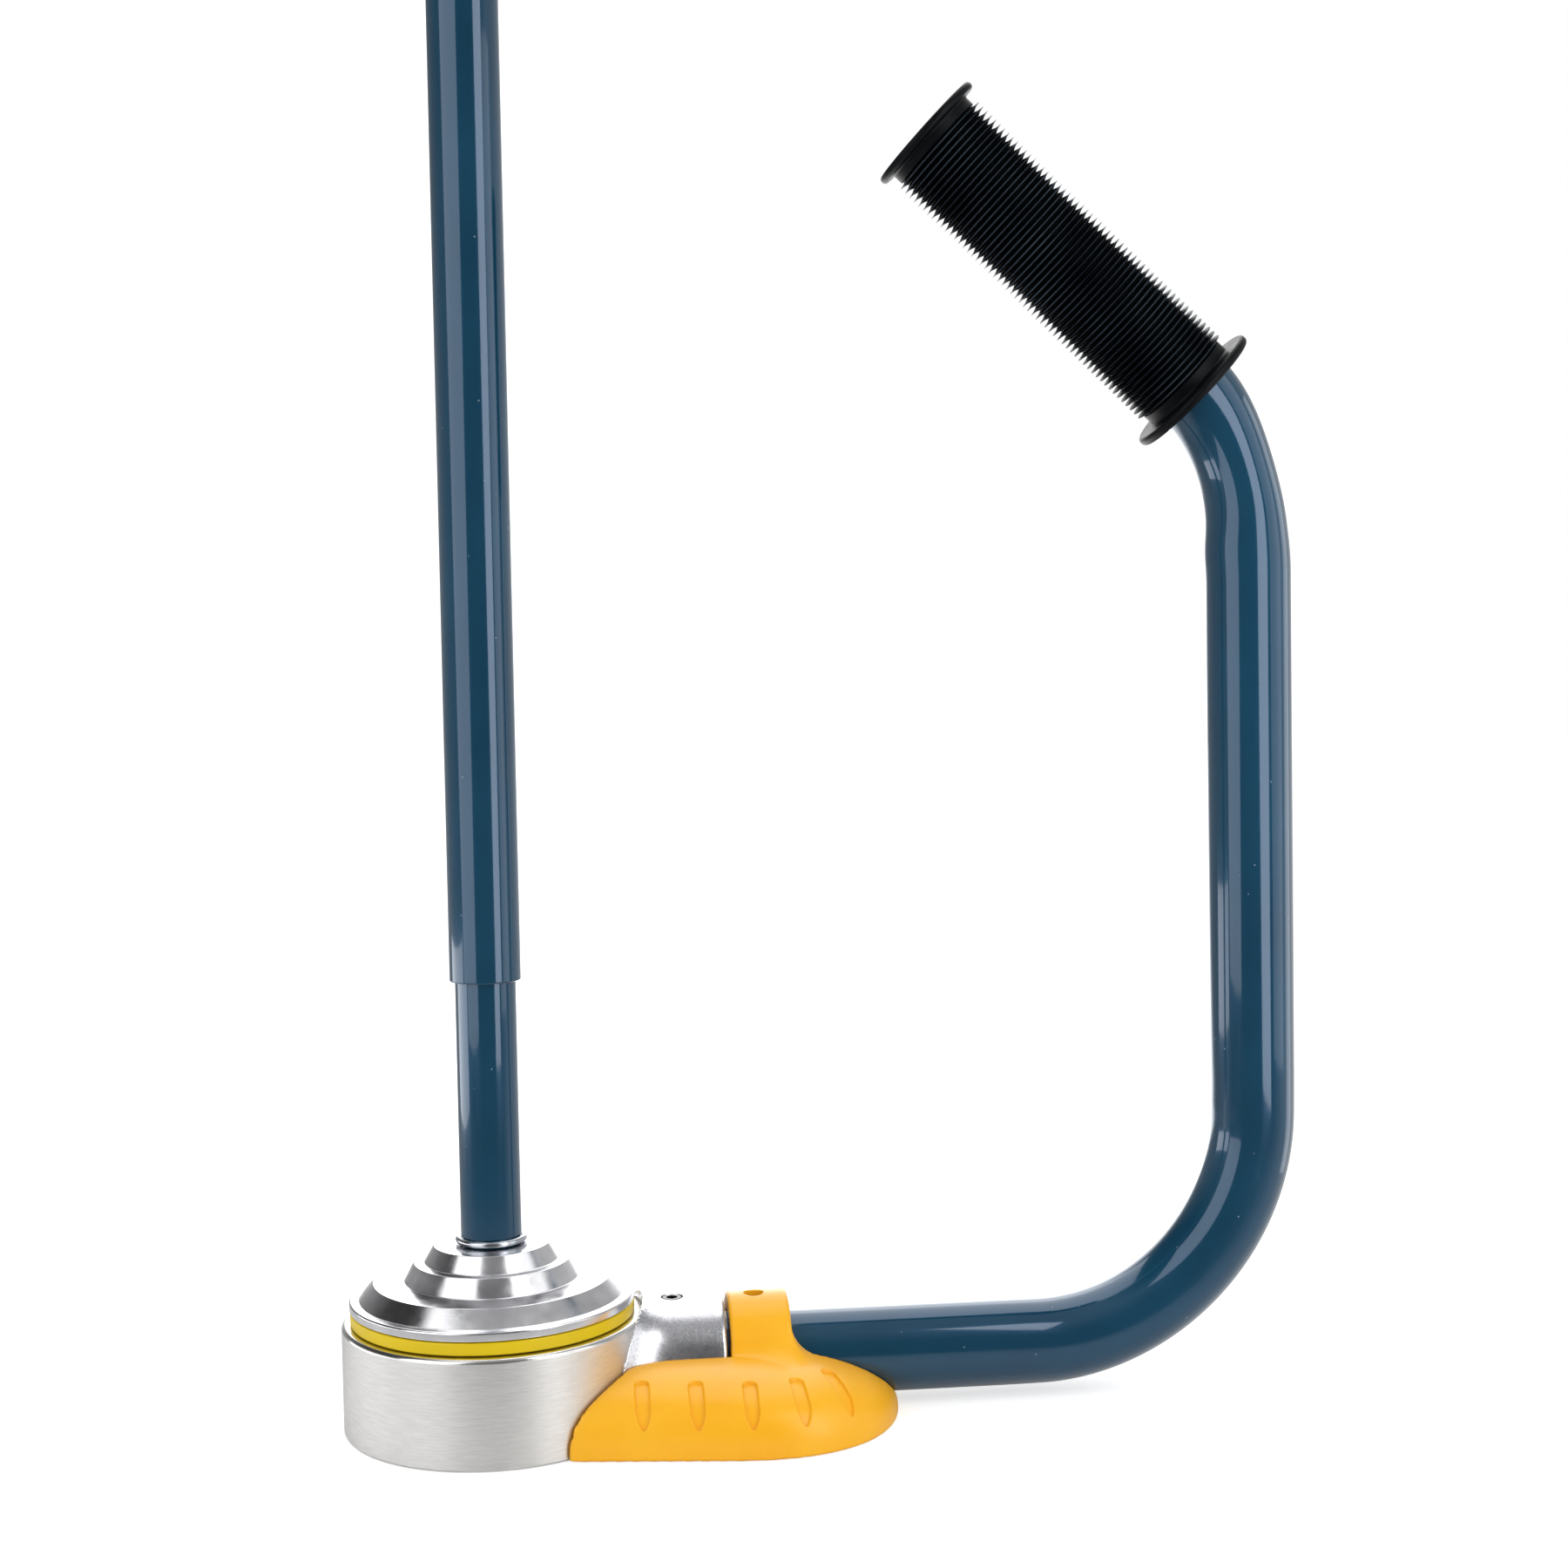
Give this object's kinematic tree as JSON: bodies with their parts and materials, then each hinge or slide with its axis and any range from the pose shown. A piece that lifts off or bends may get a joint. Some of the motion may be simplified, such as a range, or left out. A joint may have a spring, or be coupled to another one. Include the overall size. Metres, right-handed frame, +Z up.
{
  "type": "stretch film dispenser",
  "caption": "Hand-held stretch-film dispenser: stepped core hub that spins on a drum base, telescoping pole and J-shaped handle with a ribbed grip.",
  "frame": {"origin": "centre of the drum's underside, on the floor", "axes": "+Z up the pole, +X from the drum towards the handle tube, +Y away from the pictured side"},
  "size_m": [0.2854, 0.0928, 0.5658],
  "materials": {
    "brushed_aluminium": "brushed round the drum",
    "turned_aluminium": "turned and polished",
    "blue_paint": "gloss paint on steel tube",
    "orange_plastic": "satin moulded",
    "yellow_plastic": "satin moulded",
    "black_rubber": "satin moulded",
    "zinc_steel": "zinc plated",
    "black_steel": "black oxide",
    "natural_nylon": "moulded",
    "bronze": "sintered"
  },
  "bodies": {
    "base": {"base_housing": "brushed_aluminium", "bottom_cover": "zinc_steel", "cover_screw_1": "zinc_steel", "cover_screw_2": "zinc_steel", "cover_screw_3": "zinc_steel", "friction_ring": "yellow_plastic", "hub_snap_ring": "zinc_steel", "inner_pole": "blue_paint", "pole_plug": "zinc_steel", "pole_bolt": "black_steel", "pole_washer": "zinc_steel", "lock_plug": "natural_nylon", "lock_nut": "zinc_steel", "handle_tube": "blue_paint", "handle_grip": "black_rubber", "socket_grub_screw": "black_steel", "foot_guard": "orange_plastic", "foot_screw": "zinc_steel"},
    "hub": {"core_hub": "turned_aluminium", "hub_bush_lower": "bronze", "hub_bush_upper": "bronze"},
    "lock": {"lock_sleeve": "natural_nylon"},
    "upper_pole": {"outer_pole": "blue_paint", "pole_cap": "black_rubber"}
  },
  "joints": [
    {"name": "hub_spin", "type": "hinge", "parent": "base", "child": "hub", "pos_m": [0, 0, 0.038], "axis": [0, 0, 1], "continuous": true},
    {"name": "pole_twist", "type": "hinge", "parent": "base", "child": "lock", "pos_m": [0, 0, 0.34], "axis": [0, 0, 1], "range_deg": [-90, 90]},
    {"name": "pole_slide", "type": "slide", "parent": "lock", "child": "upper_pole", "axis": [0, 0, 1], "range_m": [-0.07, 0.12]}
  ]
}
